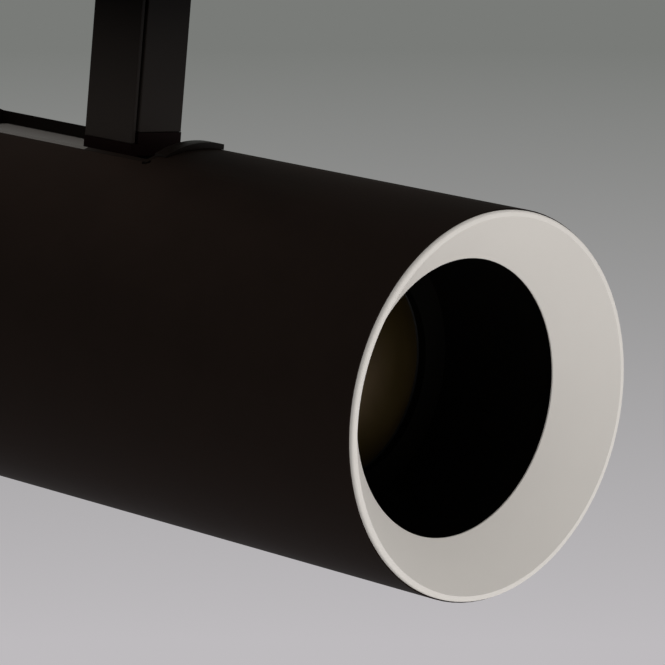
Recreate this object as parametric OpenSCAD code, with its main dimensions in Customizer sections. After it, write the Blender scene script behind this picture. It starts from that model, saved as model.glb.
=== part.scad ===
// Ceiling-mounted cylinder spotlight: a round canopy, a square stem that swivels under it, and a tube
// that tilts on a fork and tongue hidden in the end of the stem. Inside the tube an ellipsoidal reflector
// lights a gate, and a plano-convex lens throws it out through a dark baffle and a white bevelled ring.
// The ceiling plane is z = 0. The stem stands on the Z axis and the light leaves along +X.

/* [Tube] */
// Outside diameter of the tube
tube_d = 80; // [76:1:100]
// Wall of the tube
tube_wall = 2; // [1.6:0.1:3]
// Length of the tube, without its front ring and rear cap
tube_len = 229; // [220:1:280]
// Distance from the stem's axis forward to the front of the white ring
front_reach = 111; // [108:1:130]

/* [Front ring] */
// Width of the tube's end that stays bare outside the ring
ring_edge = 0.3; // [0.2:0.1:0.8]
// Thickness of the ring's rim in front of the tube's end
ring_rim_t = 1; // [0.8:0.1:1.6]
// Diameter of the opening at the inner end of the bevel
mouth_d = 57.2; // [52:0.2:60]
// Depth of the bevel
bevel_depth = 9.9; // [8:0.1:12]
// Thickness of the ring's shell
ring_shell_t = 1.6; // [1.2:0.1:2]
// Depth of the skirt that pushes into the tube
skirt_depth = 14; // [13:0.5:16]

/* [Baffle and lens] */
// Wall of the baffle tube
baffle_wall = 1.4; // [1:0.1:2]
// Distance from the front of the ring to the back wall of the baffle
baffle_end = 41; // [40:1:50]
// Diameter of the lens
lens_d = 48; // [44:1:50]
// Radius of the lens's domed face
lens_curve_r = 36; // [34:0.5:42]
// Thickness of the lens's edge
lens_edge_t = 3; // [2.5:0.1:4]
// Thickness of the seal in front of the lens
seal_t = 1.2; // [0.8:0.1:1.6]

/* [Projector] */
// Distance from the front of the ring to the gate
gate_at = 116; // [112:0.5:118]
// Diameter of the hole in the gate
gate_hole_d = 16; // [10:0.5:20]
// Distance between the reflector's two foci, from the gate to the light source
foci_gap = 34.5; // [33:0.5:38]
// Space between the widest part of the reflector and its sleeve
reflector_gap = 3.3; // [2:0.1:4]
// Wall of the reflector
reflector_t = 1; // [0.8:0.1:1.4]
// Space between the sleeve that carries the gate and reflector and the bracket above it
sleeve_gap = 1.2; // [0.8:0.1:3]
// Wall of the sleeve
sleeve_wall = 1.5; // [1.2:0.1:1.8]
// Side of the square light source board, as a share of its holder's radius
board_share = 1.3; // [1.1:0.05:1.3]
// Diameter of the glowing disc, as a share of the board's side
emitter_share = 0.75; // [0.5:0.05:0.75]

/* [Heat sink and rear cap] */
// Thickness of the heat sink's front plate
sink_plate_t = 6; // [4:0.5:8]
// Thickness of each fin
fin_t = 1.8; // [1.4:0.1:2.4]
// Distance from fin to fin
fin_pitch = 6.6; // [6:0.1:8]
// Thickness of the rear cap's rim
cap_rim_t = 2.5; // [2:0.1:4]
// Depth of the rear cap's plug inside the tube
cap_plug_depth = 4; // [3:0.5:6]
// Width of the vent slots in the rear cap
vent_w = 3; // [2:0.2:3.2]
// Length of the middle vent slot
vent_span = 36; // [28:1:40]

/* [Slot and tray] */
// Clear width of the slot's tray
slot_w = 27.2; // [26:0.2:30]
// Distance from the stem's axis forward to the front end of the slot
slot_ahead = 19.5; // [18:0.5:21]
// Distance from the stem's axis back to the rear end of the slot
slot_behind = 58; // [50:1:70]
// Length of the deep pocket under the foot of the stem
pocket_len = 24.5; // [24:0.5:27]
// Depth of the pocket's floor below the top of the tube
pocket_depth = 13; // [12:0.5:14]
// Depth of the tray's shallow floor below the top of the tube
floor_depth = 5.2; // [4.8:0.1:6.5]
// Wall of the tray
tray_wall = 1.2; // [1:0.1:1.6]
// Distance from the tube's middle to the long end of the crowned hook at each end of the tray
hook_long = 11.5; // [9:0.5:12]
// Distance from the tube's middle to the short end of each hook, where a blade can lift the tray
hook_short = 5.2; // [4:0.1:8]
// Height of the hooks' crowns above the tube
hook_t = 1.4; // [1:0.1:1.8]
// How far each hook lies over the tube
hook_reach = 2.4; // [1.5:0.1:4]
// Radius of the relief holes in the corners of the slot
relief_r = 1; // [0.6:0.1:1.4]

/* [Stem] */
// Width of the stem across the tube
stem_w = 14.4; // [14:0.1:18]
// Depth of the stem along the tube
stem_d = 15; // [14.6:0.1:20]
// Wall of the stem
stem_wall = 1.5; // [1.2:0.1:2]
// Length of the stem
stem_len = 161; // [150:1:260]
// How far the end of the stem sinks into the slot
stem_sink = 1; // [0.5:0.1:1.5]
// How far the stem's front wall stops above its end
front_lift = 2.5; // [0:0.5:4]
// Thickness of the stem's side cover
cover_t = 1.1; // [0.8:0.1:1.6]
// Width of the groove between the side cover and the stem
cover_gap = 0.75; // [0.4:0.05:1]

/* [Tilt joint] */
// Height of the tilt pin above the end of the stem
pivot_rise = 12; // [11.5:0.1:14]
// Diameter of the tilt pin
pin_d = 4; // [3:0.1:4.5]
// Thickness of the tongue
tongue_t = 5; // [4:0.1:5.5]
// Width of the tongue
tongue_w = 9; // [8:0.1:9.5]
// Thickness of each friction washer
washer_t = 0.6; // [0.4:0.1:0.8]
// Height of the fork insert
fork_len = 44; // [36:1:54]
// How far the fork insert stands out below the stem
fork_drop = 2.6; // [1:0.1:2.8]

/* [Swivel] */
// Diameter of the hollow neck that turns in the canopy
neck_d = 12; // [11:0.5:13]
// Diameter of the hole for the leads through the neck
neck_bore_d = 7; // [5:0.5:8]
// Diameter of the spigot's flange
flange_d = 24; // [23.5:0.5:28]
// Thickness of the spigot's flange
flange_t = 3.4; // [3.2:0.1:5]
// Thickness of the bush's flange
bush_flange_t = 1.5; // [1.2:0.1:2]
// Thickness of the spring washer under the nut
spring_washer_t = 1.2; // [0.8:0.1:1.6]
// Height of the swivel nut
nut_h = 5; // [4:0.5:6]
// Size of the swivel nut across its flats
nut_af = 17; // [16:0.5:19]

/* [Canopy] */
// Outside diameter of the canopy
canopy_d = 110; // [108:1:130]
// Height of the canopy
canopy_h = 28; // [28:1:40]
// Wall of the canopy
canopy_wall = 1.5; // [1.2:0.1:2]
// Radius of the canopy's lower edge
canopy_edge_r = 6; // [3:0.5:8]
// Thickness of the mounting plate
plate_t = 2; // [1.5:0.1:3]
// Distance between the two ceiling screw holes
hole_spacing = 70; // [60:1:72]
// Diameter of the ceiling screw holes
hole_d = 5; // [4:0.1:6]
// Diameter of the cable entry
entry_d = 16; // [12:0.5:20]

/* [Driver and terminals] */
// Length of the driver's case
driver_l = 66; // [50:1:68]
// Width of the driver's case
driver_w = 22; // [18:0.5:23]
// Height of the driver's case
driver_h = 18; // [14:0.5:19]
// Length of the terminal block
terminal_l = 30; // [24:1:36]
// Width of the terminal block
terminal_w = 15; // [12:0.5:17]
// Height of the terminal block
terminal_h = 13; // [10:0.5:15]

/* [Hidden] */
$fn = 96;
eps = 0.01;
// Gap of a push fit, a seat or a screw in its hole
fit = 0.1;
// Radial gap of a shaft that turns in its hole
running = 0.05;

// Levels from the ceiling down
bush_top = -canopy_h + canopy_wall + 1;
flange_top = -canopy_h - bush_flange_t - fit;
stem_top = flange_top - flange_t;
stem_end = stem_top - stem_len;
pivot_z = stem_end + pivot_rise;
tube_r = tube_d / 2;
bore_r = tube_r - tube_wall;
axis_z = stem_end + stem_sink - tube_r;
pivot_up = pivot_z - axis_z;

// Distances along the tube are counted back from the front of the ring
tube_end = ring_rim_t + tube_len;
slot_front = front_reach - slot_ahead;
slot_rear = front_reach + slot_behind;
slot_half = slot_w / 2;
tray_half = slot_half + tray_wall;
tray_front = slot_front - tray_wall;
tray_rear = slot_rear + tray_wall;
pocket_rear = slot_front + pocket_len;
floor_up = tube_r - floor_depth;
pocket_up = tube_r - pocket_depth;
// The hooks' crowns meet the tube at the sides of the slot
crown_rise = hook_t + tube_r - sqrt(tube_r * tube_r - slot_half * slot_half);
crown_r = (slot_half * slot_half + crown_rise * crown_rise) / (2 * crown_rise);
bracket_t = 3.6;
bracket_up = pocket_up - tray_wall;
bracket_half = 25;
bracket_front = slot_front + 2.5;
bracket_rear = pocket_rear + 10;

mouth_r = mouth_d / 2;
lip_r = tube_r - ring_edge;
lip_round = 0.5;
bevel_r = lip_r - 1.2;
ring_edge_t = 0.3;
baffle_r = mouth_r + 0.6;
baffle_flange_t = 2;
lens_r = lens_d / 2;
lens_cell_r = lens_r + fit;
lens_seat_r = lens_r - 0.7;
lens_front = baffle_end + 2 + seal_t;
lens_back = lens_front + lens_edge_t;
lens_centre = lens_front + sqrt(pow(lens_curve_r, 2) - pow(lens_r, 2));
retainer_t = 3;
cell_end = lens_back + retainer_t + 2;

sleeve_r = bracket_up - bracket_t - sleeve_gap;
sleeve_bore_r = sleeve_r - sleeve_wall;
gate_t = 1.5;
gate_lip_t = 1.5;
gate_lip_r = sleeve_bore_r - 5;
source_at = gate_at + foci_gap;
emitter_t = 0.9;
board_t = 1.6;
sink_at = source_at + emitter_t + board_t;
ellipse_c = foci_gap / 2;
ellipse_b = sleeve_bore_r - reflector_t - reflector_gap;
ellipse_a = sqrt(pow(ellipse_b, 2) + pow(ellipse_c, 2));
ellipse_mid = gate_at + ellipse_c;
reflector_front = gate_at + gate_t + 3;
reflector_back = source_at - 1.2;
reflector_steps = 20;
holder_t = sink_at - reflector_back - fit;
holder_r = sleeve_bore_r - 1;
board_w = board_share * holder_r;
emitter_d = emitter_share * board_w;
holder_screw_r = (board_w / 2 + holder_r) / 2;
sleeve_flange_t = 2;
sleeve_flange_r = sleeve_r + 6;
sleeve_screw_r = sleeve_r + 3;

sink_flat_up = floor_up - tray_wall - 1.5;
sink_end = tube_end - cap_plug_depth - fit;
sink_r = bore_r - fit;
fin_r = bore_r - 1;
web_t = 4;
post_r = 3.6;
post_at = fin_r - 10;
post_angles = [-90, 30, 150];
post_bore = 12;
post_bite = 8;
ring_wire = 1.4;
ring_groove = 0.8;
ring_gap_angle = 64;
baffle_ring_at = skirt_depth + baffle_flange_t;
sink_ring_at = sink_at - ring_wire;

// Small screws: shank radius, head radius, head height and the width of the hexagon socket
m3_r = 1.5;
m3_head_r = 2.75;
m3_head_h = 2;
m3_socket = 2;
m4_r = 1.95;
m4_head_r = 3.8;
m4_head_h = 2.2;
m4_socket = 2.5;
screw_inset = 4.5;
bracket_screw_x = [slot_ahead - screw_inset, front_reach - pocket_rear + screw_inset];
bracket_screw_y = slot_half - screw_inset;
grommet_x = slot_ahead - 7.5;
grommet_hole_r = 3.4;

stem_x = stem_d / 2 - stem_wall;
stem_far = stem_w / 2 - stem_wall;
stem_near = -stem_w / 2 + cover_t;
fork_slot_w = tongue_t + 2 * (washer_t + fit);
fork_foot = stem_end - fork_drop;
fork_top = fork_foot + fork_len;
fork_slot_top = pivot_z + tongue_w / 2 + 1;
notch_top = fork_slot_top + 0.5;
notch_w = tongue_t + 1.6;
plug_len = 26;
stem_screw_bite = 3;
stem_screw_z = [fork_top - fork_len / 5, stem_top - plug_len / 2];
washer_r = tongue_w / 2 - 0.3;
lead_groove_r = 1;

neck_top = bush_top + fit + spring_washer_t + nut_h + 2;
bush_r = neck_d / 2 + 2;
stop_r = bush_r + 1.9;
stop_pin_r = 0.9;
stop_groove_depth = 1.6;
stop_land = 3.4;

canopy_r = canopy_d / 2;
plate_r = canopy_r - canopy_wall - 4.5;
tab_t = 2;
tab_out = canopy_r - canopy_wall - 1;
tab_w = 14;
tab_drop = 13;
canopy_screw_z = -8;
driver_inset = 12;
driver_y = plate_r - driver_inset - driver_w / 2;
driver_lug = 6;
driver_screw_x = driver_l / 2 + driver_lug / 2;
terminal_gap = 18;
terminal_y = -terminal_gap - terminal_w / 2;
terminal_ways = 3;

// Moves from the tube's axis at the stem to the part's own frame
module at_head() {
    translate([0, 0, axis_z]) children();
}

// Turns a profile of [radius, distance behind the front] round the tube's axis
module lathe(angle = 360, from = 0) {
    at_head() translate([front_reach, 0, 0]) rotate([0, -90, 0])
        rotate([0, 0, from]) rotate_extrude(angle = angle) children();
}

// Extrudes a profile seen from the front, of [width, height above the axis], between two distances
module along_tube(start, end) {
    at_head() translate([front_reach - end, 0, 0]) rotate([90, 0, 90])
        linear_extrude(end - start) children();
}

// A ring profile between two radii and two distances
module band(inner, outer, start, end) {
    translate([inner, start]) square([outer - inner, end - start]);
}

// A box from the tube's front measures, across the width and between two heights above the axis
module slot_box(start, end, half, low, high) {
    at_head() translate([front_reach - end, -half, low]) cube([end - start, 2 * half, high - low]);
}

// A cap screw along +Z with its head above z = 0 and a hexagon socket in the head
module cap_screw(shank_r, length, head_r, head_h, socket) {
    difference() {
        union() {
            translate([0, 0, -length]) cylinder(r = shank_r, h = length + eps);
            cylinder(r = head_r, h = head_h);
        }
        translate([0, 0, head_h * 0.4]) cylinder(d = socket / cos(30), h = head_h, $fn = 6);
    }
}

// A rectangle with round corners, centred
module round_rect(w, h, r) {
    square([w - 2 * r, h], center = true);
    square([w, h - 2 * r], center = true);
    for (x = [-1, 1], y = [-1, 1]) translate([x * (w / 2 - r), y * (h / 2 - r)]) circle(r);
}

// Points of a quarter circle, from one angle to another
function arc(cx, cy, r, from, to, steps = 8) =
    [for (i = [0:steps]) let (a = from + (to - from) * i / steps) [cx + r * cos(a), cy + r * sin(a)]];

// Radius of the reflector's ellipse, grown by a wall, at a distance behind the front
function ellipse_at(s, wall) = (ellipse_b + wall) * sqrt(1 - pow((s - ellipse_mid) / (ellipse_a + wall), 2));

// Steel plate against the ceiling, with two screw holes, a cable entry and two folded tabs
module mounting_plate() {
    color("silver") difference() {
        union() {
            translate([0, 0, -plate_t]) cylinder(r = plate_r, h = plate_t);
            for (side = [0, 180]) rotate([0, 0, side]) {
                translate([plate_r - 3, -tab_w / 2, -plate_t]) cube([tab_out - plate_r + 3, tab_w, plate_t]);
                translate([tab_out - tab_t, -tab_w / 2, -tab_drop]) cube([tab_t, tab_w, tab_drop]);
            }
        }
        for (x = [-1, 1] * hole_spacing / 2) translate([x, 0, -plate_t - 1])
            cylinder(d = hole_d, h = plate_t + 2);
        translate([0, 0, -plate_t - 1]) cylinder(d = entry_d, h = plate_t + 2);
        for (side = [0, 180]) rotate([0, 0, side]) translate([tab_out - tab_t - 1, 0, canopy_screw_z])
            rotate([0, 90, 0]) cylinder(r = m4_r + running, h = tab_t + 2);
        for (x = [-1, 1] * driver_screw_x) translate([x, driver_y, -plate_t - 1])
            cylinder(r = m3_r + running, h = plate_t + 2);
    }
}

// Spun cup that hides the plate and carries the swivel bush in its floor
module canopy_cover() {
    inner_edge = max(canopy_edge_r - canopy_wall, 0.5);
    outer = arc(canopy_r - canopy_edge_r, -canopy_h + canopy_edge_r, canopy_edge_r, 0, -90);
    inner = arc(canopy_r - canopy_edge_r, -canopy_h + canopy_edge_r, inner_edge, -90, 0);
    color("#1b1816") difference() {
        rotate_extrude() polygon(concat([[canopy_r, 0]], outer, [[bush_r + running, -canopy_h],
            [bush_r + running, -canopy_h + canopy_wall]], inner, [[canopy_r - canopy_wall, 0]]));
        for (side = [0, 180]) rotate([0, 0, side]) translate([canopy_r - 4, 0, canopy_screw_z])
            rotate([0, 90, 0]) cylinder(r = m4_r + fit, h = 8);
        translate([stop_r, 0, -canopy_h - 1]) cylinder(r = stop_pin_r + running, h = 4);
    }
}

// The two screws that hold the canopy to the plate's tabs
module canopy_screws() {
    color("#2a2624") for (side = [0, 180]) rotate([0, 0, side]) translate([canopy_r, 0, canopy_screw_z])
        rotate([0, 90, 0]) cap_screw(m4_r, canopy_r - tab_out + tab_t + 1, m4_head_r, m4_head_h, m4_socket);
}

// Driver case with two lugs, under the plate
module led_driver() {
    color("white") difference() {
        translate([0, driver_y, -plate_t - driver_h]) union() {
            linear_extrude(driver_h) round_rect(driver_l, driver_w, 3);
            translate([0, 0, driver_h - 2]) linear_extrude(2)
                round_rect(driver_l + 2 * driver_lug, driver_lug * 2, 3);
        }
        for (x = [-1, 1] * driver_screw_x) translate([x, driver_y, -plate_t - 3])
            cylinder(r = m3_r + fit, h = 4);
        // Sockets for the leads at both ends
        for (x = [-1, 1]) translate([x * driver_l / 2, driver_y, -plate_t - driver_h / 2 - 2])
            cube([8, driver_w * 0.5, 5], center = true);
    }
}

// The driver's two screws
module driver_screws() {
    color("silver") for (x = [-1, 1] * driver_screw_x) translate([x, driver_y, -plate_t - 2])
        rotate([180, 0, 0]) cap_screw(m3_r, plate_t + 2 - fit, m3_head_r, m3_head_h, m3_socket);
}

// Screw terminals for the supply leads
module terminal_block() {
    pitch = terminal_l / terminal_ways;
    color("ivory") difference() {
        translate([0, terminal_y, -plate_t - terminal_h]) linear_extrude(terminal_h)
            round_rect(terminal_l, terminal_w, 1);
        for (i = [0:terminal_ways - 1]) translate([(i - (terminal_ways - 1) / 2) * pitch, terminal_y, 0]) {
            translate([0, terminal_w / 2 + 1, -plate_t - terminal_h * 0.35]) rotate([90, 0, 0])
                cylinder(r = 2, h = terminal_w + 2);
            translate([0, 0, -plate_t - terminal_h - 1]) cylinder(r = 2.4, h = 5);
        }
    }
}

// Flanged bush in the canopy's floor
module swivel_bush() {
    color("dimgray") difference() {
        union() {
            translate([0, 0, -canopy_h]) cylinder(r = bush_r, h = bush_top + canopy_h);
            translate([0, 0, -canopy_h - bush_flange_t]) cylinder(d = flange_d, h = bush_flange_t);
        }
        translate([0, 0, -canopy_h - bush_flange_t - 1])
            cylinder(d = neck_d + 2 * running, h = bush_top + canopy_h + bush_flange_t + 2);
        translate([stop_r, 0, -canopy_h - bush_flange_t - 1]) cylinder(r = stop_pin_r + running, h = 6);
    }
}

// Pin that stops the swivel before the leads twist
module stop_pin() {
    drop = canopy_h + bush_flange_t + fit + stop_groove_depth - 0.3;
    color("silver") translate([stop_r, 0, -drop]) cylinder(r = stop_pin_r, h = drop - canopy_h + canopy_wall);
}

// Hollow neck, flange and square plug on which the stem hangs
module swivel_spigot() {
    color("gray") difference() {
        union() {
            translate([0, 0, flange_top - eps]) cylinder(d = neck_d, h = neck_top - flange_top);
            translate([0, 0, stem_top]) cylinder(d = flange_d, h = flange_t);
            stem_plug(stem_top - plug_len, plug_len + eps);
        }
        translate([0, 0, stem_top - plug_len - 1])
            cylinder(d = neck_bore_d, h = neck_top - stem_top + plug_len + 2);
        translate([0, 0, flange_top - stop_groove_depth]) rotate([0, 0, 180 + stop_land])
            rotate_extrude(angle = 360 - 2 * stop_land)
            translate([stop_r - stop_pin_r - fit, 0]) square([2 * (stop_pin_r + fit), stop_groove_depth + 1]);
        stem_screw_hole(stem_screw_z[1], stem_wall + stem_screw_bite + fit, running);
    }
}

// Spring washer that gives the swivel its drag
module swivel_washer() {
    color("silver") translate([0, 0, bush_top + fit]) difference() {
        cylinder(r = nut_af / 2 + 1.5, h = spring_washer_t);
        translate([0, 0, -1]) cylinder(d = neck_d + 2 * fit, h = spring_washer_t + 2);
    }
}

// Hexagon nut on the neck
module swivel_nut() {
    color("silver") translate([0, 0, bush_top + fit + spring_washer_t]) difference() {
        cylinder(d = nut_af / cos(30), h = nut_h, $fn = 6);
        translate([0, 0, -1]) cylinder(d = neck_d + 2 * running, h = nut_h + 2);
    }
}

// A block that fills the stem between its walls and its side cover
module stem_plug(foot, height) {
    translate([-stem_x + fit, stem_near, foot])
        cube([2 * (stem_x - fit), stem_far - fit - stem_near, height]);
}

// A screw hole from the rear of the stem
module stem_screw_hole(z, depth, gap) {
    translate([-stem_d / 2 - 1, 0, z]) rotate([0, 90, 0]) cylinder(r = m3_r + gap, h = depth + 1);
}

// U-section stem, open to one side, with a shorter front wall and a rear notch for the tongue
module stem_channel() {
    near_end = stem_near + cover_gap;
    color("#1b1816") difference() {
        translate([-stem_d / 2, near_end, stem_end]) cube([stem_d, stem_w / 2 - near_end, stem_len]);
        translate([-stem_x, near_end - 1, stem_end - 1])
            cube([2 * stem_x, stem_far - near_end + 1, stem_len + 2]);
        translate([-stem_d / 2 - 1, -notch_w / 2, stem_end - 1])
            cube([stem_wall + 2, notch_w, notch_top - stem_end + 1]);
        translate([stem_x - 1, -stem_w, stem_end - 1]) cube([stem_wall + 2, 2 * stem_w, front_lift + 1]);
        for (z = stem_screw_z) stem_screw_hole(z, stem_wall + 1, fit);
    }
}

// Side cover that closes the stem, with a groove between the two
module stem_cover() {
    color("#1f1b18") translate([-stem_d / 2, -stem_w / 2, stem_end]) cube([stem_d, cover_t, stem_len]);
}

// Forked block in the end of the stem, open to the rear and below for the tongue
module fork_insert() {
    slot_x = tongue_w / 2 + 0.3;
    toe_x = stem_x - 1 + fit;
    toe_y = stem_near + cover_gap;
    color("#24201e") difference() {
        union() {
            stem_plug(fork_foot, fork_len);
            translate([-stem_d / 2, -stem_w / 2, fork_foot]) cube([stem_d, stem_w, fork_drop]);
            // A toe fills the gap under the stem's front wall
            translate([toe_x, toe_y, fork_foot])
                cube([stem_d / 2 - toe_x, stem_w / 2 - toe_y, fork_drop + front_lift - fit]);
        }
        translate([-stem_d, -fork_slot_w / 2, fork_foot - 1])
            cube([stem_d + slot_x, fork_slot_w, fork_slot_top - fork_foot + 1]);
        translate([0, stem_w, pivot_z]) rotate([90, 0, 0]) cylinder(d = pin_d + 2 * running, h = 2 * stem_w);
        for (x = [-1, 1] * stem_x / 2) translate([x, stem_far - fit, fork_foot - 1])
            cylinder(r = lead_groove_r, h = fork_len + 2);
        stem_screw_hole(stem_screw_z[0], stem_wall + stem_screw_bite + fit, running);
    }
}

// Screws through the rear of the stem into the fork insert and the spigot's plug
module stem_screws() {
    color("#2a2624") for (z = stem_screw_z) translate([-stem_d / 2, 0, z]) rotate([0, -90, 0])
        cap_screw(m3_r, stem_wall + stem_screw_bite, m3_head_r, m3_head_h, m3_socket);
}

// Tilt pin, hidden between the stem's far wall and its side cover
module hinge_pin() {
    far = stem_far - fit;
    color("silver") translate([0, far, pivot_z]) rotate([90, 0, 0])
        cylinder(d = pin_d, h = far - stem_near - fit);
}

// Washers that pinch the tongue
module friction_washers() {
    color("orange") for (y = [-fork_slot_w / 2, fork_slot_w / 2 - washer_t])
        translate([0, y, pivot_z]) rotate([-90, 0, 0]) difference() {
            cylinder(r = washer_r, h = washer_t);
            translate([0, 0, -1]) cylinder(d = pin_d + 2 * running, h = washer_t + 2);
        }
}

// Drawn tube with the slot in its top and a groove for each retaining ring
module body_tube() {
    color("#16120f") difference() {
        lathe() band(bore_r, tube_r, ring_rim_t, tube_end);
        lathe() for (s = [baffle_ring_at, sink_ring_at])
            band(bore_r - 1, bore_r + ring_groove, s, s + ring_wire + fit);
        slot_box(tray_front - fit, tray_rear + fit, tray_half + fit, 0, tube_d);
        at_head() for (s = [tray_front, tray_rear], y = [-1, 1] * tray_half)
            translate([front_reach - s, y, 0]) cylinder(r = relief_r, h = tube_r);
    }
}

// A hook over one end of the slot, crowned across the tube, with its root in the slot
module hook(start, end, over_start, over_end) {
    difference() {
        intersection() {
            along_tube(start, end) translate([0, tube_r + hook_t - crown_r]) circle(crown_r);
            at_head() translate([front_reach - end, -hook_long, floor_up])
                cube([end - start, hook_long + hook_short, tube_d]);
        }
        lathe() band(0, tube_r + running, over_start, over_end);
    }
}

// Moulded liner of the slot: a deep pocket under the stem's foot, a shallow floor and a hook at each end
module arm_tray() {
    color("#1c1917") difference() {
        union() {
            intersection() {
                union() {
                    slot_box(tray_front, pocket_rear + tray_wall, tray_half, bracket_up, tube_d);
                    slot_box(tray_front, tray_rear, tray_half, floor_up - tray_wall, tube_d);
                }
                lathe() band(0, tube_r, tray_front - 1, tray_rear + 1);
            }
            hook(tray_front - hook_reach, slot_front, tray_front - hook_reach - 1, tray_front);
            hook(slot_rear, tray_rear + hook_reach, tray_rear, tray_rear + hook_reach + 1);
        }
        slot_box(slot_front, pocket_rear, slot_half, pocket_up, tube_d);
        slot_box(slot_front, slot_rear, slot_half, floor_up, tube_d);
        // Way through for the tongue, the screws and the leads
        at_head() translate([0, 0, pocket_up - tray_wall - 1]) {
            translate([-tongue_w / 2 - 0.3, -tongue_t / 2 - 0.3, 0])
                cube([tongue_w + 0.6, tongue_t + 0.6, tube_r]);
            for (x = bracket_screw_x, y = [-1, 1] * bracket_screw_y) translate([x, y, 0])
                cylinder(r = m3_r + fit, h = 5);
            translate([grommet_x, 0, 0]) cylinder(r = grommet_hole_r + running, h = 5);
        }
    }
}

// Cast bracket under the tray: shoulders against the tube and the tongue of the tilt joint
module tilt_bracket() {
    color("#2b2826") difference() {
        union() {
            along_tube(bracket_front, bracket_rear) difference() {
                intersection() {
                    circle(bore_r - fit);
                    translate([-bracket_half, bracket_up - bracket_t]) square([2 * bracket_half, tube_r]);
                }
                translate([-tray_half - fit, bracket_up]) square([2 * (tray_half + fit), tube_r]);
            }
            at_head() translate([-tongue_w / 2, -tongue_t / 2, bracket_up - 1])
                cube([tongue_w, tongue_t, pivot_up - bracket_up + 1]);
            at_head() translate([0, tongue_t / 2, pivot_up]) rotate([90, 0, 0])
                cylinder(d = tongue_w, h = tongue_t);
        }
        at_head() translate([0, tongue_t, pivot_up]) rotate([90, 0, 0])
            cylinder(d = pin_d + 2 * running, h = 2 * tongue_t);
        at_head() translate([0, 0, bracket_up - bracket_t - 1]) {
            for (x = bracket_screw_x, y = [-1, 1] * bracket_screw_y) translate([x, y, 0])
                cylinder(r = m3_r + running, h = bracket_t + 2);
            translate([grommet_x, 0, 0]) cylinder(r = grommet_hole_r + running, h = bracket_t + 2);
        }
    }
}

// Screws that clamp the tray and the bracket on the wall of the tube
module bracket_screws() {
    color("silver") at_head() for (x = bracket_screw_x, y = [-1, 1] * bracket_screw_y)
        translate([x, y, pocket_up])
        cap_screw(m3_r, bracket_t + tray_wall - fit, m3_head_r, m3_head_h, m3_socket);
}

// Rubber grommet where the leads enter the tube
module tray_grommet() {
    neck = bracket_t + tray_wall;
    wall = 1.2;
    color("black") at_head() translate([grommet_x, 0, pocket_up]) difference() {
        union() {
            cylinder(r = grommet_hole_r + wall, h = wall);
            translate([0, 0, -neck]) cylinder(r = grommet_hole_r, h = neck + eps);
        }
        translate([0, 0, -neck - 1]) cylinder(r = grommet_hole_r - wall, h = neck + wall + 2);
    }
}

// White ring: a round lip over the tube's end, a straight bevel and a skirt that pushes into the tube
module front_ring() {
    slope = bevel_depth / (bevel_r - mouth_r);
    back = ring_shell_t * sqrt(1 + slope * slope);
    skirt_out = bore_r - running;
    skirt_in = skirt_out - ring_shell_t;
    color("#d8d5d0") lathe() polygon(concat(
        [[lip_r, ring_rim_t]],
        arc(lip_r - lip_round, lip_round, lip_round, 0, -90, 6),
        [[bevel_r, 0], [mouth_r, bevel_depth], [mouth_r, bevel_depth + ring_edge_t],
        [baffle_r + baffle_wall, bevel_depth + 1], [skirt_in, (bevel_r - skirt_in) * slope + back],
        [skirt_in, skirt_depth], [skirt_out, skirt_depth], [skirt_out, ring_rim_t]]));
}

// Black baffle with a flange behind the ring and a cell for the lens at its inner end
module baffle_tube() {
    wall_end = baffle_end + 2;
    color("#0c0b0a") lathe() polygon([
        [baffle_r, bevel_depth + 1 + fit], [baffle_r, baffle_end], [lens_seat_r, baffle_end],
        [lens_seat_r, wall_end], [lens_cell_r, wall_end], [lens_cell_r, cell_end],
        [lens_cell_r + baffle_wall, cell_end], [lens_cell_r + baffle_wall, wall_end],
        [baffle_r + baffle_wall, wall_end], [baffle_r + baffle_wall, skirt_depth + baffle_flange_t],
        [bore_r - fit, skirt_depth + baffle_flange_t], [bore_r - fit, skirt_depth],
        [baffle_r + baffle_wall, skirt_depth], [baffle_r + baffle_wall, bevel_depth + 1 + fit]]);
}

// Silicone ring between the lens and its seat
module lens_seal() {
    color("gray") difference() {
        lathe() band(lens_seat_r, lens_r, baffle_end + 2, lens_front);
        at_head() translate([front_reach - lens_centre, 0, 0]) sphere(lens_curve_r + running);
    }
}

// Plano-convex lens, domed to the front
module lens() {
    color("lightcyan", 0.5) intersection() {
        lathe() band(0, lens_r, lens_centre - lens_curve_r - 1, lens_back);
        at_head() translate([front_reach - lens_centre, 0, 0]) sphere(lens_curve_r);
    }
}

// Ring that holds the lens in its cell
module lens_retainer() {
    color("#222222") lathe() band(lens_r - 3, lens_r, lens_back, lens_back + retainer_t);
}

// Steel plate with the round hole that the lens projects
module gate_plate() {
    color("silver") lathe() band(gate_hole_d / 2, sleeve_bore_r - fit, gate_at, gate_at + gate_t);
}

// Spun ellipsoidal reflector with a rim that seats on the gate
module reflector() {
    step = (reflector_back - reflector_front) / reflector_steps;
    rim_out = sleeve_bore_r - fit;
    rim_back = reflector_front + 1.2;
    outer = [for (i = [reflector_steps:-1:0]) let (s = reflector_front + i * step) if (s > rim_back)
        [ellipse_at(s, reflector_t), s]];
    inner = [for (i = [0:reflector_steps]) let (s = reflector_front + i * step) [ellipse_at(s, 0), s]];
    color("gainsboro") lathe() polygon(concat(inner, outer, [[ellipse_at(rim_back, reflector_t), rim_back],
        [rim_out, rim_back], [rim_out, gate_at + gate_t], [rim_out - reflector_t, gate_at + gate_t],
        [rim_out - reflector_t, reflector_front]]));
}

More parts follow.
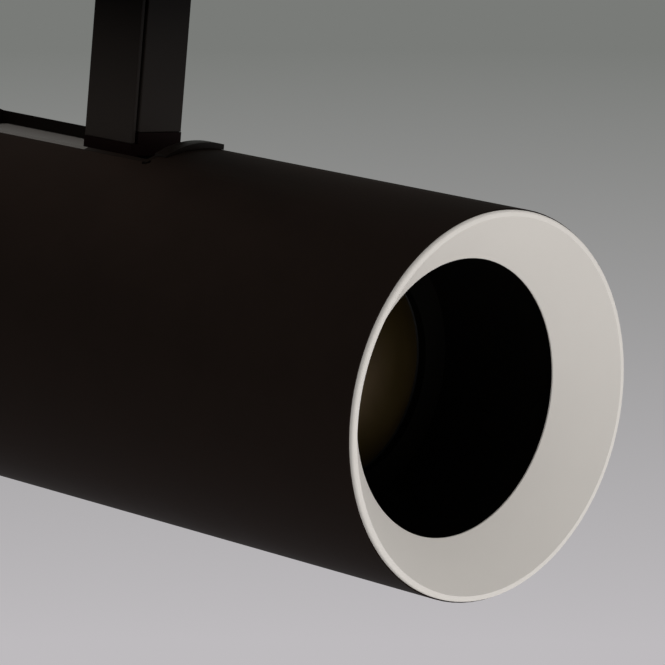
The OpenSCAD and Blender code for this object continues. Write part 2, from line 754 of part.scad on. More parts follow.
// Sleeve on the heat sink that carries the gate and the reflector
module optic_sleeve() {
    color("#222222") difference() {
        lathe() polygon([[gate_lip_r, gate_at - gate_lip_t], [gate_lip_r, gate_at], [sleeve_bore_r, gate_at],
            [sleeve_bore_r, sink_at], [sleeve_flange_r, sink_at],
            [sleeve_flange_r, sink_at - sleeve_flange_t], [sleeve_r, sink_at - sleeve_flange_t],
            [sleeve_r, gate_at - gate_lip_t]]);
        for (a = post_angles)
            round_screw_hole(a, sleeve_screw_r, sink_at - sleeve_flange_t - 1, sink_at + 1, fit);
    }
}

// A screw hole along the tube at an angle and a radius from its axis
module round_screw_hole(angle, radius, start, end, gap) {
    at_head() translate([front_reach - end, radius * cos(angle), radius * sin(angle)]) rotate([0, 90, 0])
        cylinder(r = m3_r + gap, h = end - start);
}

// The sleeve's three screws
module sleeve_screws() {
    color("silver") for (a = post_angles) at_head()
        translate([front_reach - sink_at + sleeve_flange_t, sleeve_screw_r * cos(a), sleeve_screw_r * sin(a)])
        rotate([0, 90, 0])
        cap_screw(m3_r, sleeve_flange_t + sink_plate_t - 1, m3_head_r, m3_head_h, m3_socket);
}

// Board of the light source
module led_board() {
    color("white") along_tube(sink_at - board_t, sink_at) square(board_w, center = true);
}

// Phosphor disc of the light source
module led_emitter() {
    color("gold") lathe() band(0, emitter_d / 2, source_at, source_at + emitter_t);
}

// Moulded holder that presses the board on the heat sink
module led_holder() {
    front = sink_at - holder_t;
    color("ivory") difference() {
        along_tube(front, sink_at) circle(holder_r);
        along_tube(front - 1, sink_at + 1) circle(emitter_d / 2 + 0.4);
        along_tube(sink_at - board_t - fit, sink_at + 1) square(board_w + 2 * fit, center = true);
        for (a = [0, 180]) round_screw_hole(a, holder_screw_r, front - 1, sink_at + 1, fit);
    }
}

// The holder's two screws
module holder_screws() {
    color("silver") for (side = [-1, 1]) at_head()
        translate([front_reach - sink_at + holder_t, side * holder_screw_r, 0]) rotate([0, 90, 0])
        cap_screw(m3_r, holder_t + sink_plate_t - 2, m3_head_r - 0.6, m3_head_h - 0.6, m3_socket - 0.4);
}

// Extruded heat sink with a front plate, upright fins on a web and three screw posts
module heat_sink() {
    fins = floor(fin_r / fin_pitch);
    color("silver") difference() {
        union() {
            along_tube(sink_at, sink_at + sink_plate_t) circle(sink_r);
            along_tube(sink_at + sink_plate_t - eps, sink_end - 1) intersection() {
                circle(fin_r);
                union() {
                    square([2 * fin_r, web_t], center = true);
                    for (i = [-fins:fins]) translate([i * fin_pitch, 0])
                        square([fin_t, 2 * fin_r], center = true);
                }
            }
            along_tube(sink_at + sink_plate_t - eps, sink_end) for (a = post_angles)
                translate(post_at * [cos(a), sin(a)]) circle(post_r);
        }
        slot_box(sink_at - 1, tube_end, tube_r, sink_flat_up, tube_d);
        for (a = post_angles) {
            round_screw_hole(a, post_at, sink_end - post_bore, sink_end + 1, running);
            round_screw_hole(a, sleeve_screw_r, sink_at - 1, sink_at + sink_plate_t - 1 + fit, running);
        }
        for (a = [0, 180])
            round_screw_hole(a, holder_screw_r, sink_at - 1, sink_at + sink_plate_t - 2 + fit, running);
    }
}

// Two snap rings with their gap at the top: one behind the baffle's flange, one before the heat sink
module retaining_rings() {
    color("silver") for (s = [baffle_ring_at, sink_ring_at])
        lathe(360 - ring_gap_angle, ring_gap_angle / 2)
        band(bore_r - 2.2, bore_r + ring_groove - fit, s + running, s + ring_wire);
}

// Cap with vent slots, pushed into the rear end of the tube
module rear_cap() {
    vents = [-3:3];
    color("#16120f") difference() {
        lathe() polygon([[0, tube_end - cap_plug_depth], [bore_r - running, tube_end - cap_plug_depth],
            [bore_r - running, tube_end], [tube_r, tube_end], [tube_r, tube_end + cap_rim_t - 0.8],
            [tube_r - 0.8, tube_end + cap_rim_t], [0, tube_end + cap_rim_t]]);
        along_tube(tube_end - cap_plug_depth - 1, tube_end + cap_rim_t + 1) for (i = vents)
            translate([0, i * vent_w * 2]) round_rect(vent_span - abs(i) * 2, vent_w, vent_w / 2 - eps);
        for (a = post_angles)
            round_screw_hole(a, post_at, tube_end - cap_plug_depth - 1, tube_end + cap_rim_t + 1, fit);
    }
}

// The rear cap's three screws
module rear_cap_screws() {
    color("#2a2624") for (a = post_angles) at_head()
        translate([front_reach - tube_end - cap_rim_t, post_at * cos(a), post_at * sin(a)])
        rotate([0, -90, 0])
        cap_screw(m3_r, cap_rim_t + cap_plug_depth + post_bite, m3_head_r, m3_head_h, m3_socket);
}

mounting_plate();
canopy_cover();
canopy_screws();
led_driver();
driver_screws();
terminal_block();
swivel_bush();
stop_pin();
swivel_spigot();
swivel_washer();
swivel_nut();
stem_channel();
stem_cover();
fork_insert();
stem_screws();
hinge_pin();
friction_washers();
body_tube();
arm_tray();
tilt_bracket();
bracket_screws();
tray_grommet();
front_ring();
baffle_tube();
lens_seal();
lens();
lens_retainer();
gate_plate();
reflector();
optic_sleeve();
sleeve_screws();
led_board();
led_emitter();
led_holder();
holder_screws();
heat_sink();
retaining_rings();
rear_cap();
rear_cap_screws();
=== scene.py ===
"""Looks of a black cylinder spotlight that tilts on a square stem under a ceiling canopy."""

import logging
import math
from dataclasses import dataclass, field
from enum import Enum
from typing import Any, Optional

import bmesh
import bpy
from mathutils import Matrix, Vector


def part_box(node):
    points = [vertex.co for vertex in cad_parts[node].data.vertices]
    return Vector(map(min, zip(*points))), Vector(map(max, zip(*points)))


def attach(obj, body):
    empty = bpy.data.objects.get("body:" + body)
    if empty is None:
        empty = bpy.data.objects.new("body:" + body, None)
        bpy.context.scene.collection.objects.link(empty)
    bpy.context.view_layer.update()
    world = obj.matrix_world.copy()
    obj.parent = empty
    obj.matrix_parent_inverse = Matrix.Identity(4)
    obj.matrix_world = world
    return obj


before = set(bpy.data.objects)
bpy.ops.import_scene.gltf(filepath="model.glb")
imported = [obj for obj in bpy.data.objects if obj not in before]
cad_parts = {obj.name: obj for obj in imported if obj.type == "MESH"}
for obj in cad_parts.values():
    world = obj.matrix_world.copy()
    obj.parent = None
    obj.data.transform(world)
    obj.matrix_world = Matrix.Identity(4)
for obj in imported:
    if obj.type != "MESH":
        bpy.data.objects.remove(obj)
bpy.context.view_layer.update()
LOG = logging.getLogger("spotlight")
MM = 0.001
Point = tuple[float, float, float]

# Side of the square picture in pixels, sensor width in millimetres and near limit of the camera in metres.
IMAGE_PX = 665
SENSOR_MM = 36.0
NEAR_M = 0.01
# A colour Mix node's two colours and result, by number, because its sockets share their names.
MIX_A, MIX_B, MIX_RESULT = 6, 7, 2
# How slowly the lines of drawn and rolled metal change along the tube, against 1 across it.
DRAWN_ALONG = 0.03
# Upward part of the normal above which a face looks up and takes the painted light from above.
LOOKS_UP = 0.85
# Roughness of a clear coat.
COAT_ROUGHNESS = 0.12
# Deburring: corners this close are one, and edges sharper than the angle are rounded in steps.
WELD_M = 1e-6
SHARP_DEG = 40.0
ROUND_STEPS = 3
# Points of the sweep this close are one.
SEAM_M = 1e-5


def linear(hex_code: str) -> tuple[float, float, float, float]:
    """Turns an sRGB colour into linear light.

    Args:
        hex_code: Six hexadecimal digits, such as "d8d5d0".

    Returns:
        Red, green, blue and an alpha of 1.
    """
    parts = [int(hex_code[i:i + 2], 16) / 255 for i in (0, 2, 4)]
    rgb = [c / 12.92 if c <= 0.04045 else ((c + 0.055) / 1.055) ** 2.4 for c in parts]
    return rgb[0], rgb[1], rgb[2], 1.0


def add_node(
    tree: bpy.types.NodeTree,
    kind: str,
    settings: Optional[dict[Any, Any]] = None,
    links: Optional[dict[Any, bpy.types.NodeSocket]] = None,
) -> bpy.types.Node:
    """Adds one shader node with its settings and its links.

    Args:
        tree: The node tree that takes the node.
        kind: Blender's name of the node type.
        settings: Values by property name, input name or input number.
        links: Output sockets by the name or number of the input that they feed.

    Returns:
        The new node.
    """
    node = tree.nodes.new(kind)
    for key, value in (settings or {}).items():
        if isinstance(key, int) or key in node.inputs:
            node.inputs[key].default_value = value
        else:
            setattr(node, key, value)
    for key, socket in (links or {}).items():
        tree.links.new(socket, node.inputs[key])
    return node


class Making(Enum):
    """How a surface was made, which sets the relief that the light picks out."""

    POWDER = "powder coated"
    SPRAYED = "sprayed"
    MOULDED = "moulded"
    CAST = "die cast"
    BRUSHED = "rolled and plated"
    EXTRUDED = "extruded"
    SPUN = "spun"
    POLISHED = "polished"


@dataclass(frozen=True)
class Finish:
    """One finish: a real material, how it was made and how it takes the light.

    Attributes:
        name: Common name of the material and process.
        light: The paler of its two colours, as sRGB hex.
        dark: The darker of its two colours, as sRGB hex.
        making: How the surface was made.
        grain_mm: Size of the relief in millimetres.
        relief_mm: Height of the relief in millimetres.
        roughness: Middle roughness.
        spread: How far the roughness wanders either way.
        metallic: 1 for bare metal.
        ior: Index of refraction of a non-metal.
        specular: Specular level of a non-metal.
        glint: Colour of the glint that a coating leaves on a non-metal, as sRGB hex.
        coat: Weight of a clear coat.
        transmission: 1 for clear glass.
        patch_mm: Size of the patches in which the two colours mix.
        painted_top_light: Colour painted on the faces that look up within the stretch, as light falling from
            above, or None.
        top_light_x_mm: Middle and half length along the tube of the stretch with that painted light.
        painted_end_light: Colour painted at one end as light falling there, which makes it paler, or None.
        end_light_z_mm: Heights at which that painted light starts and is full.
    """

    name: str
    light: str
    dark: str
    making: Making
    grain_mm: float
    relief_mm: float
    roughness: float
    spread: float = 0.04
    metallic: float = 0.0
    ior: float = 1.5
    specular: float = 0.5
    glint: str = "ffffff"
    coat: float = 0.0
    transmission: float = 0.0
    patch_mm: float = 14.0
    painted_top_light: Optional[str] = None
    top_light_x_mm: tuple[float, float] = (0.0, 0.0)
    painted_end_light: Optional[str] = None
    end_light_z_mm: tuple[float, float] = (0.0, 0.0)

    def relief(self, tree: bpy.types.NodeTree, place: bpy.types.NodeSocket) -> bpy.types.NodeSocket:
        """Draws the height pattern of the surface.

        Args:
            tree: The material's node tree.
            place: Position on the part in metres.

        Returns:
            The socket that carries the height.
        """
        per_metre = 1 / (self.grain_mm * MM)
        if self.making in (Making.BRUSHED, Making.EXTRUDED):
            # Drawn lines run along the tube, so the pattern is long in X and fine across it.
            drawn = add_node(
                tree, "ShaderNodeMapping", {"Scale": (DRAWN_ALONG, 1.0, 1.0)}, {"Vector": place}
            )
            return add_node(
                tree,
                "ShaderNodeTexNoise",
                {"Scale": per_metre, "Detail": 3.0, "Roughness": 0.6},
                {"Vector": drawn.outputs["Vector"]},
            ).outputs["Fac"]
        if self.making is Making.SPUN:
            # The wave runs 20 radians to a unit, so this scale makes each ridge about one grain wide.
            rings = add_node(
                tree,
                "ShaderNodeTexWave",
                {
                    "wave_type": "BANDS",
                    "bands_direction": "X",
                    "Scale": per_metre / math.tau,
                    "Distortion": 0.3,
                },
                {"Vector": place},
            )
            return rings.outputs["Fac"]
        if self.making is Making.POWDER:
            # Powder flows to a fine orange peel: round low cells, not sharp grit.
            cells = add_node(
                tree,
                "ShaderNodeTexVoronoi",
                {"feature": "SMOOTH_F1", "Scale": per_metre, "Smoothness": 0.8},
                {"Vector": place},
            )
            return cells.outputs["Distance"]
        return add_node(
            tree,
            "ShaderNodeTexNoise",
            {"Scale": per_metre, "Detail": 4.0, "Roughness": 0.55},
            {"Vector": place},
        ).outputs["Fac"]

    def top_light_share(self, tree: bpy.types.NodeTree, place: bpy.types.NodeSocket) -> bpy.types.NodeSocket:
        """Finds where the top light is painted: the faces that look up within the stretch.

        Args:
            tree: The material's node tree.
            place: Position on the part in metres.

        Returns:
            The socket that is 1 where the top light is painted and 0 elsewhere.
        """
        middle, half = self.top_light_x_mm
        along = add_node(tree, "ShaderNodeSeparateXYZ", links={0: place}).outputs["X"]
        within = add_node(
            tree, "ShaderNodeMath", {"operation": "COMPARE", 1: middle * MM, 2: half * MM}, {0: along}
        ).outputs[0]
        facing = add_node(tree, "ShaderNodeTexCoord").outputs["Normal"]
        upward = add_node(tree, "ShaderNodeSeparateXYZ", links={0: facing}).outputs["Z"]
        level = add_node(
            tree, "ShaderNodeMath", {"operation": "GREATER_THAN", 1: LOOKS_UP}, {0: upward}
        ).outputs[0]
        return add_node(tree, "ShaderNodeMath", {"operation": "MULTIPLY"}, {0: within, 1: level}).outputs[0]

    def colour(
        self, tree: bpy.types.NodeTree, place: bpy.types.NodeSocket, patches: bpy.types.NodeSocket
    ) -> bpy.types.NodeSocket:
        """Mixes the two colours in patches, then lays on the painted top light and the painted light at one
        end.

        Args:
            tree: The material's node tree.
            place: Position on the part in metres.
            patches: Share of the paler colour.

        Returns:
            The socket that carries the colour.
        """
        mixed = add_node(
            tree,
            "ShaderNodeMix",
            {"data_type": "RGBA", MIX_A: linear(self.dark), MIX_B: linear(self.light)},
            {0: patches},
        )
        # Painted light: faces that look up within the stretch read grey, as if lit from above.
        if self.painted_top_light is not None:
            mixed = add_node(
                tree,
                "ShaderNodeMix",
                {"data_type": "RGBA", MIX_B: linear(self.painted_top_light)},
                {0: self.top_light_share(tree, place), MIX_A: mixed.outputs[MIX_RESULT]},
            )
        # Painted light: one end grows paler, from the height where it starts to where it is full.
        if self.painted_end_light is not None:
            start, full = self.end_light_z_mm
            height = add_node(tree, "ShaderNodeSeparateXYZ", links={0: place}).outputs["Z"]
            end_light_share = add_node(
                tree,
                "ShaderNodeMapRange",
                {"From Min": start * MM, "From Max": full * MM},
                {"Value": height},
            )
            mixed = add_node(
                tree,
                "ShaderNodeMix",
                {"data_type": "RGBA", MIX_B: linear(self.painted_end_light)},
                {0: end_light_share.outputs["Result"], MIX_A: mixed.outputs[MIX_RESULT]},
            )
        return mixed.outputs[MIX_RESULT]

    def material(self) -> bpy.types.Material:
        """Makes the material, or returns it if it is made already.

        Returns:
            The Blender material of this finish.
        """
        made = bpy.data.materials.get(self.name)
        if made is not None:
            return made
        made = bpy.data.materials.new(self.name)
        made.use_nodes = True
        tree = made.node_tree
        tree.nodes.clear()
        place = add_node(tree, "ShaderNodeTexCoord").outputs["Object"]
        patches = add_node(
            tree,
            "ShaderNodeTexNoise",
            {"Scale": 1 / (self.patch_mm * MM), "Detail": 5.0, "Roughness": 0.6},
            {"Vector": place},
        ).outputs["Fac"]
        gloss = add_node(
            tree,
            "ShaderNodeMapRange",
            {"To Min": self.roughness - self.spread, "To Max": self.roughness + self.spread},
            {"Value": patches},
        )
        bump = add_node(
            tree,
            "ShaderNodeBump",
            {"Strength": 1.0, "Distance": self.relief_mm * MM},
            {"Height": self.relief(tree, place)},
        )
        settings: dict[Any, Any] = {
            "Metallic": self.metallic,
            "Coat Weight": self.coat,
            "Coat Roughness": COAT_ROUGHNESS,
        }
        if not self.metallic:
            settings["IOR"] = self.ior
            settings["Specular IOR Level"] = self.specular
            settings["Specular Tint"] = linear(self.glint)
            settings["Transmission Weight"] = self.transmission
        shader = add_node(
            tree,
            "ShaderNodeBsdfPrincipled",
            settings,
            {
                "Base Color": self.colour(tree, place, patches),
                "Roughness": gloss.outputs["Result"],
                "Normal": bump.outputs["Normal"],
            },
        )
        add_node(tree, "ShaderNodeOutputMaterial", links={"Surface": shader.outputs["BSDF"]})
        return made


# Matt black powder coat on drawn aluminium: warm black, a soft sheen only at grazing angles.
BLACK_POWDER = Finish(
    "matt_black_powder_coat", "1b130f", "160f0b", Making.POWDER, 0.5, 0.02, 0.62, specular=0.03
)
# Satin black spray on the steel stem: deep black with a soft highlight, and painted light that makes it
# paler towards its foot.
SATIN_BLACK = Finish(
    "satin_black_sprayed_steel", "080504", "050302", Making.SPRAYED, 0.6, 0.003, 0.34, specular=0.035,
    painted_end_light="282320", end_light_z_mm=(-164.0, -193.0),
)
# Matt off-white spray on the turned ring: even and chalky, hardly any highlight.
OFF_WHITE = Finish(
    "matt_off_white_sprayed_aluminium", "c9c4be", "c5c0ba", Making.SPRAYED, 0.5, 0.002, 0.6, specular=0.3
)
# Flat black polycarbonate with a fine turned ribbing, which swallows stray light.
FLAT_BLACK = Finish(
    "flat_black_ribbed_polycarbonate", "060504", "030302", Making.SPUN, 1.2, 0.02, 0.85, specular=0.02
)
# Black moulded ABS, satin; behind the stem, its faces that look up carry painted light from above, in grey.
MOULDED_BLACK = Finish(
    "black_moulded_abs", "140e0a", "0f0a08", Making.MOULDED, 0.9, 0.003, 0.4, specular=0.07,
    painted_top_light="4c4946", top_light_x_mm=(-27.5, 28.5),
)
# Black anodised aluminium: dark with a faint metal glint.
BLACK_ANODISED = Finish(
    "black_anodised_aluminium", "1c1c1d", "151516", Making.EXTRUDED, 0.3, 0.004, 0.42, metallic=0.6
)
# Blackened die-cast alloy: dull, with the fine pebble of the mould.
CAST_ALLOY = Finish("blackened_die_cast_zinc", "3a3836", "2c2a29", Making.CAST, 0.4, 0.02, 0.5, metallic=0.8)
# Black dip-coated die casting: deep warm black, dull in its recess.
DIPPED_CAST = Finish(
    "black_dipped_die_cast_zinc", "140706", "0e0504", Making.CAST, 0.4, 0.01, 0.5, specular=0.03
)
# Zinc-plated steel: pale, slightly blue, with faint rolling lines.
ZINC_STEEL = Finish("zinc_plated_steel", "c3c6ca", "a9acb0", Making.BRUSHED, 0.25, 0.004, 0.32, metallic=1.0)
# Rolled spring steel: dark grey with a thin film of oil.
SPRING_STEEL = Finish(
    "oiled_spring_steel", "8d8e91", "77787b", Making.BRUSHED, 0.2, 0.003, 0.3, metallic=1.0
)
# Black-oxide steel of screws and spigot: almost black, with a metal edge glint.
BLACK_OXIDE = Finish("black_oxide_steel", "2b2927", "1f1d1c", Making.CAST, 0.3, 0.006, 0.4, metallic=0.9)
# Grey moulded acetal: waxy, for the bush and the friction washers.
ACETAL = Finish("grey_moulded_acetal", "8a8781", "7d7a75", Making.MOULDED, 0.6, 0.004, 0.4, ior=1.48)
# Black moulded EPDM rubber: dull, with a dry bloom.
RUBBER = Finish("black_moulded_epdm", "191817", "100f0f", Making.MOULDED, 0.4, 0.012, 0.75)
# Black cellular EPDM: a dull sponge with an open cell of about a millimetre.
FOAM = Finish("black_cellular_epdm", "141312", "0a0909", Making.MOULDED, 1.0, 0.05, 0.9, specular=0.1)
# Polished crown glass under a hazy hard coating that takes the blue out of its glint: a faint olive bloom.
LENS_GLASS = Finish(
    "coated_crown_glass", "463a0a", "362c07", Making.POLISHED, 3.0, 0.0002, 0.5, spread=0.1, ior=1.52,
    specular=0.04, glint="edc7a2", transmission=0.88, patch_mm=6.0,
)
# Bright spun aluminium: a mirror with faint spinning rings.
BRIGHT_ALUMINIUM = Finish(
    "bright_spun_aluminium", "eeeeee", "e4e4e5", Making.SPUN, 0.5, 0.002, 0.12, metallic=1.0
)
# Mill-finish extruded aluminium: pale, with die lines along the fins.
MILL_ALUMINIUM = Finish(
    "mill_finish_extruded_aluminium", "d2d3d5", "bfc0c3", Making.EXTRUDED, 0.4, 0.01, 0.38, metallic=1.0
)
# White moulded ABS: clean, with the fine texture of the mould.
WHITE_ABS = Finish("white_moulded_abs", "e6e4df", "dfdcd6", Making.MOULDED, 0.5, 0.01, 0.45)
# White solder mask over an aluminium board.
SOLDER_MASK = Finish("white_solder_mask", "f0f0ee", "e8e8e6", Making.SPRAYED, 0.7, 0.004, 0.4)
# Yellow phosphor under clear silicone.
PHOSPHOR = Finish("silicone_over_phosphor", "f0c83a", "e6b92e", Making.MOULDED, 0.3, 0.01, 0.3, coat=0.4)


@dataclass
class SubAssembly:
    """A group of CAD nodes on one body, with the finish of each.

    Attributes:
        body: Name of the CAD body that the pieces ride on.
        finishes: Finish by CAD node.
        edge_mm: Radius of the broken edge by CAD node.
    """

    body: str
    finishes: dict[str, Finish] = field(default_factory=dict)
    edge_mm: dict[str, float] = field(default_factory=dict)

    def dress(self) -> None:
        """Gives each node its finish and its broken edges."""
        for name, finish in self.finishes.items():
            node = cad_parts[name]
            node.data.materials.clear()
            node.data.materials.append(finish.material())
            if name in self.edge_mm:
                self.break_edges(node, self.edge_mm[name] * MM)
            LOG.info("%s: %s in %s", self.body, name, finish.name)

    def break_edges(self, node: bpy.types.Object, radius: float) -> None:
        """Rounds the sharp edges of a node, as deburring and mould rounding do.

        Args:
            node: The CAD node's object.
            radius: Radius of the round in metres.
        """
        weld = node.modifiers.new("join_corners", "WELD")
        weld.merge_threshold = WELD_M
        bevel = node.modifiers.new("broken_edges", "BEVEL")
        bevel.width = radius
        bevel.segments = ROUND_STEPS
        bevel.limit_method = "ANGLE"
        bevel.angle_limit = math.radians(SHARP_DEG)
        bevel.harden_normals = True


@dataclass
class CeilingBase(SubAssembly):
    """Plate, canopy, driver and the fixed half of the swivel."""

    body: str = "base"
    finishes: dict[str, Finish] = field(default_factory=lambda: {
        "mounting_plate": ZINC_STEEL,
        "canopy_cover": BLACK_POWDER,
        "canopy_screws": BLACK_OXIDE,
        "led_driver": WHITE_ABS,
        "driver_screws": ZINC_STEEL,
        "terminal_block": WHITE_ABS,
        "swivel_bush": ACETAL,
        "stop_pin": ZINC_STEEL,
    })


@dataclass
class SwivelArm(SubAssembly):
    """Stem with its swivel spigot above and its tilt fork below.

    Attributes:
        seal_w_mm: Width of the foam strip that closes the stem's groove from inside.
        seal_t_mm: Thickness of that strip at its middle.
        seal_gap_mm: Space between each end of that strip and its neighbour.
        seal_end_swell: Thickness of its cut ends, as a share of that at its middle.
        seal_steps: Flats round its curved side.
    """

    seal_w_mm: float = 11.0
    seal_t_mm: float = 2.2
    seal_gap_mm: float = 0.2
    seal_end_swell: float = 0.9
    seal_steps: int = 24
    body: str = "arm"
    finishes: dict[str, Finish] = field(default_factory=lambda: {
        "swivel_spigot": BLACK_OXIDE,
        "swivel_washer": ZINC_STEEL,
        "swivel_nut": ZINC_STEEL,
        "stem_channel": SATIN_BLACK,
        "stem_cover": SATIN_BLACK,
        "fork_insert": DIPPED_CAST,
        "stem_screws": BLACK_OXIDE,
        "hinge_pin": ZINC_STEEL,
        "friction_washers": ACETAL,
    })
    edge_mm: dict[str, float] = field(default_factory=lambda: {"stem_channel": 0.3, "stem_cover": 0.3})

    def dress(self) -> None:
        """Gives each node its finish and adds the foam strip."""
        super().dress()
        self.add_light_seal()

    def add_light_seal(self) -> None:
        """Glues a foam strip to the cover's inner face, so that no light shows through the stem's groove."""
        face_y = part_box("stem_cover")[1][1]
        foot_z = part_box("fork_insert")[1][2] + self.seal_gap_mm * MM
        head_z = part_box("swivel_spigot")[0][2] - self.seal_gap_mm * MM
        half_w, thick = self.seal_w_mm * MM / 2, self.seal_t_mm * MM
        # The ends are cut square and swell a little less than the middle, as cut foam does.
        end = self.seal_end_swell
        stations = ((foot_z, end), (foot_z + thick, 1.0), (head_z - thick, 1.0), (head_z, end))
        mesh = bmesh.new()
        turns = [math.pi * step / self.seal_steps for step in range(self.seal_steps + 1)]
        rings = [
            [mesh.verts.new((half_w * math.cos(a), face_y + thick * swell * math.sin(a), z)) for a in turns]
            for z, swell in stations
        ]
        for low, high in zip(rings, rings[1:]):
            for i in range(len(low)):
                j = (i + 1) % len(low)
                mesh.faces.new((low[i], low[j], high[j], high[i]))
        mesh.faces.new(rings[0])
        mesh.faces.new(rings[-1])
        bmesh.ops.recalc_face_normals(mesh, faces=mesh.faces[:])
        data = bpy.data.meshes.new("stem_light_seal")
        mesh.to_mesh(data)
        mesh.free()
        data.materials.append(FOAM.material())
        seal = bpy.data.objects.new("stem_light_seal", data)
        bpy.context.scene.collection.objects.link(seal)
        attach(seal, self.body)
        LOG.info("%s: stem_light_seal in %s", self.body, FOAM.name)


@dataclass
class TiltHead(SubAssembly):
    """Tube, slot tray, front ring and the projector inside."""

    body: str = "head"
    finishes: dict[str, Finish] = field(default_factory=lambda: {
        "body_tube": BLACK_POWDER,
        "arm_tray": MOULDED_BLACK,
        "tilt_bracket": CAST_ALLOY,
        "bracket_screws": ZINC_STEEL,
        "tray_grommet": RUBBER,
        "front_ring": OFF_WHITE,
        "baffle_tube": FLAT_BLACK,
        "lens_seal": RUBBER,
        "lens": LENS_GLASS,
        "lens_retainer": FLAT_BLACK,
        "gate_plate": SPRING_STEEL,
        "reflector": BRIGHT_ALUMINIUM,
        "optic_sleeve": BLACK_ANODISED,
        "sleeve_screws": ZINC_STEEL,
        "led_board": SOLDER_MASK,
        "led_emitter": PHOSPHOR,
        "led_holder": WHITE_ABS,
        "holder_screws": ZINC_STEEL,
        "heat_sink": MILL_ALUMINIUM,
        "retaining_rings": SPRING_STEEL,
        "rear_cap": BLACK_POWDER,
        "rear_cap_screws": BLACK_OXIDE,
    })
    edge_mm: dict[str, float] = field(default_factory=lambda: {"arm_tray": 0.2})


@dataclass(frozen=True)
class Lamp:
    """One soft square lamp that faces the part.

    Attributes:
        name: Name of the lamp.
        place: Where it stands, in metres.
        side: Side of the square in metres.
        watts: Power of the lamp.
        glints: Whether the coats mirror it.
    """

    name: str
    place: Point
    side: float
    watts: float
    glints: bool = True


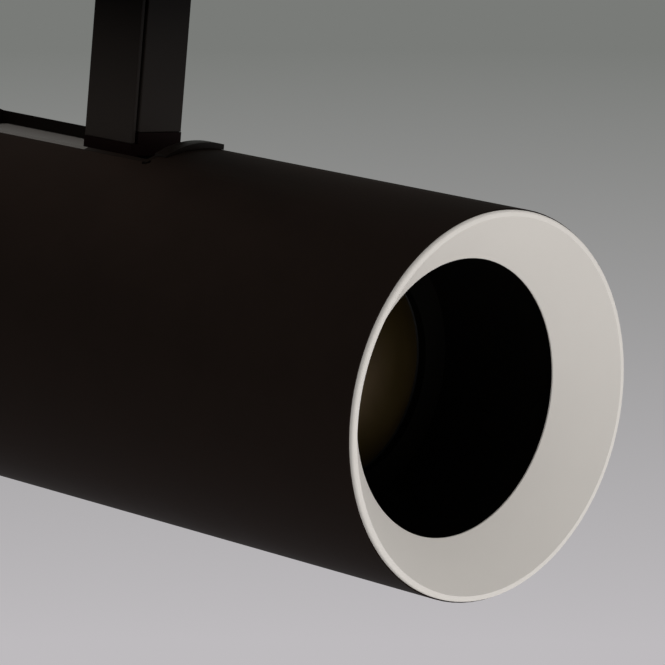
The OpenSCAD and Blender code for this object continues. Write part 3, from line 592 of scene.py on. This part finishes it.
@dataclass
class Studio:
    """Camera, lamps and the pale room that the spotlight hangs in.

    Attributes:
        eye: Place of the camera in metres.
        right: Camera's right in the part's frame.
        back: Direction from the part to the camera.
        focal_px: Focal length in pixels of the picture.
        floor_z: Height of the floor in metres.
        floor_r: Radius of the flat floor in metres.
        sweep_r: Radius of the curve from the floor to the wall in metres.
        wall_top: Height of the wall's top in metres.
        curve_steps: Flats in the curve from the floor to the wall.
        round_steps: Flats round the room.
        paper_high: Colour of the paper above the shade's start, as sRGB hex.
        paper_low: Colour of the paper below the shade's end, as sRGB hex.
        shade_slope: Slopes seen from the part at which the shade starts and ends.
        shade_lean: Up direction of the shade, which leans a little to one side.
        middle: The point that the lamps face, in metres.
        lamps: The lamps.
        light_above: Strength of the room's soft light from straight above.
        light_below: Strength of the room's soft light from straight below.
    """

    eye: Point = (0.68816, -0.64293, -0.09071)
    right: Point = (0.7065, 0.7028, 0.0837)
    back: Point = (0.6884, -0.7100, 0.1489)
    focal_px: float = 4386.0
    floor_z: float = -5.0
    floor_r: float = 4.0
    sweep_r: float = 2.0
    wall_top: float = 5.0
    curve_steps: int = 12
    round_steps: int = 96
    paper_high: str = "797b78"
    paper_low: str = "bebbbe"
    shade_slope: tuple[float, float] = (-0.1155, -0.2752)
    shade_lean: Point = (-0.06, -0.06, 1.0)
    middle: Point = (0.0, 0.0, -0.23)
    lamps: tuple[Lamp, ...] = (
        Lamp("low_front", (2.4, -0.2, -1.2), 1.4, 34.0),
        Lamp("far_side", (1.5, 1.5, -0.65), 1.2, 4.0),
        Lamp("upper_rear", (-1.2, 0.3, 1.2), 0.5, 26.0, glints=False),
    )
    light_above: float = 0.70
    light_below: float = 0.46

    def add_camera(self) -> None:
        """Sets the camera at the picture's viewing angle."""
        data = bpy.data.cameras.new("camera")
        data.sensor_fit = "HORIZONTAL"
        data.sensor_width = SENSOR_MM
        data.lens = self.focal_px * SENSOR_MM / IMAGE_PX
        data.clip_start = NEAR_M
        back = Vector(self.back).normalized()
        up = back.cross(Vector(self.right)).normalized()
        right = up.cross(back)
        turn = Matrix((right, up, back)).transposed()
        camera = bpy.data.objects.new("camera", data)
        camera.matrix_world = Matrix.Translation(self.eye) @ turn.to_4x4()
        bpy.context.scene.collection.objects.link(camera)
        bpy.context.scene.camera = camera

    def add_sweep(self) -> None:
        """Builds the round room: a pale floor that curves up into a wall on all sides, and a ceiling."""
        wall_r, curve_z = self.floor_r + self.sweep_r, self.floor_z + self.sweep_r
        turns = [math.pi / 2 * step / self.curve_steps for step in range(self.curve_steps + 1)]
        curve = [
            (self.floor_r + self.sweep_r * math.sin(a), curve_z - self.sweep_r * math.cos(a)) for a in turns
        ]
        profile = [(0.0, self.floor_z), *curve, (wall_r, self.wall_top), (0.0, self.wall_top)]
        mesh = bmesh.new()
        line = [mesh.verts.new((r, 0, z)) for r, z in profile]
        edges = [mesh.edges.new(pair) for pair in zip(line, line[1:])]
        bmesh.ops.spin(
            mesh,
            geom=line + edges,
            cent=(0, 0, 0),
            axis=(0, 0, 1),
            angle=math.tau,
            steps=self.round_steps,
            use_merge=True,
        )
        bmesh.ops.remove_doubles(mesh, verts=mesh.verts[:], dist=SEAM_M)
        data = bpy.data.meshes.new("sweep")
        mesh.to_mesh(data)
        mesh.free()
        data.shade_smooth()
        data.materials.append(self.sweep_paper())
        sweep = bpy.data.objects.new("sweep", data)
        # The camera, metal and glass see the paper at its own colour, painted shade included, and it throws
        # no light on the part.
        sweep.visible_diffuse = False
        sweep.visible_shadow = False
        bpy.context.scene.collection.objects.link(sweep)

    def sweep_paper(self) -> bpy.types.Material:
        """Makes the grey paper of the room, with painted shade that leaves it darker upwards and paler
        towards the floor.

        Returns:
            The sweep's material.
        """
        paper = bpy.data.materials.new("grey_sweep_paper")
        paper.use_nodes = True
        tree = paper.node_tree
        tree.nodes.clear()
        place = add_node(tree, "ShaderNodeNewGeometry").outputs["Position"]
        parts = add_node(tree, "ShaderNodeSeparateXYZ", links={0: place}).outputs
        # The painted shade leans a little to one side, as under a lamp that hangs off the middle.
        height = add_node(
            tree, "ShaderNodeVectorMath", {"operation": "DOT_PRODUCT", 1: self.shade_lean}, {0: place}
        )
        flat = add_node(tree, "ShaderNodeCombineXYZ", links={"X": parts["X"], "Y": parts["Y"]})
        reach = add_node(tree, "ShaderNodeVectorMath", {"operation": "LENGTH"}, {0: flat.outputs[0]})
        slope = add_node(
            tree,
            "ShaderNodeMath",
            {"operation": "DIVIDE"},
            {0: height.outputs["Value"], 1: reach.outputs["Value"]},
        )
        start, full = self.shade_slope
        share = add_node(
            tree,
            "ShaderNodeMapRange",
            {"From Min": start, "From Max": full},
            {"Value": slope.outputs["Value"]},
        )
        colour = add_node(
            tree,
            "ShaderNodeMix",
            {"data_type": "RGBA", MIX_A: linear(self.paper_high), MIX_B: linear(self.paper_low)},
            {0: share.outputs["Result"]},
        )
        glow = add_node(tree, "ShaderNodeEmission", {"Strength": 1.0}, {"Color": colour.outputs[MIX_RESULT]})
        add_node(tree, "ShaderNodeOutputMaterial", links={"Surface": glow.outputs["Emission"]})
        return paper

    def add_lamp(self, lamp: Lamp) -> None:
        """Adds one lamp, which the camera doesn't see.

        Args:
            lamp: The lamp's place, size and power.
        """
        data = bpy.data.lights.new(lamp.name, "AREA")
        data.size = lamp.side
        data.energy = lamp.watts
        head = bpy.data.objects.new(lamp.name, data)
        head.location = lamp.place
        head.rotation_euler = (Vector(lamp.place) - Vector(self.middle)).to_track_quat("Z", "Y").to_euler()
        head.visible_camera = False
        head.visible_glossy = lamp.glints
        bpy.context.scene.collection.objects.link(head)

    def light(self) -> None:
        """Sets the lamps and the soft light of the room, a little stronger from above."""
        world = bpy.data.worlds.new("room")
        world.use_nodes = True
        tree = world.node_tree
        tree.nodes.clear()
        aim = add_node(tree, "ShaderNodeTexCoord").outputs["Generated"]
        height = add_node(tree, "ShaderNodeSeparateXYZ", links={0: aim}).outputs["Z"]
        level = add_node(
            tree,
            "ShaderNodeMapRange",
            {"From Min": -1.0, "To Min": self.light_below, "To Max": self.light_above},
            {"Value": height},
        )
        soft = add_node(
            tree, "ShaderNodeBackground", {"Color": linear("ffffff")}, {"Strength": level.outputs["Result"]}
        )
        add_node(tree, "ShaderNodeOutputWorld", links={"Surface": soft.outputs["Background"]})
        bpy.context.scene.world = world
        for lamp in self.lamps:
            self.add_lamp(lamp)
        bpy.context.scene.view_settings.view_transform = "Standard"

    def build(self) -> None:
        """Builds the whole studio."""
        self.add_camera()
        self.add_sweep()
        self.light()
        LOG.info("studio: camera, sweep and lamps")


def main() -> None:
    """Dresses each sub-assembly, then sets the studio round it."""
    logging.basicConfig(level=logging.INFO, format="%(name)s %(message)s")
    for part in (CeilingBase(), SwivelArm(), TiltHead()):
        part.dress()
    Studio().build()


if __name__ == "__main__":
    main()
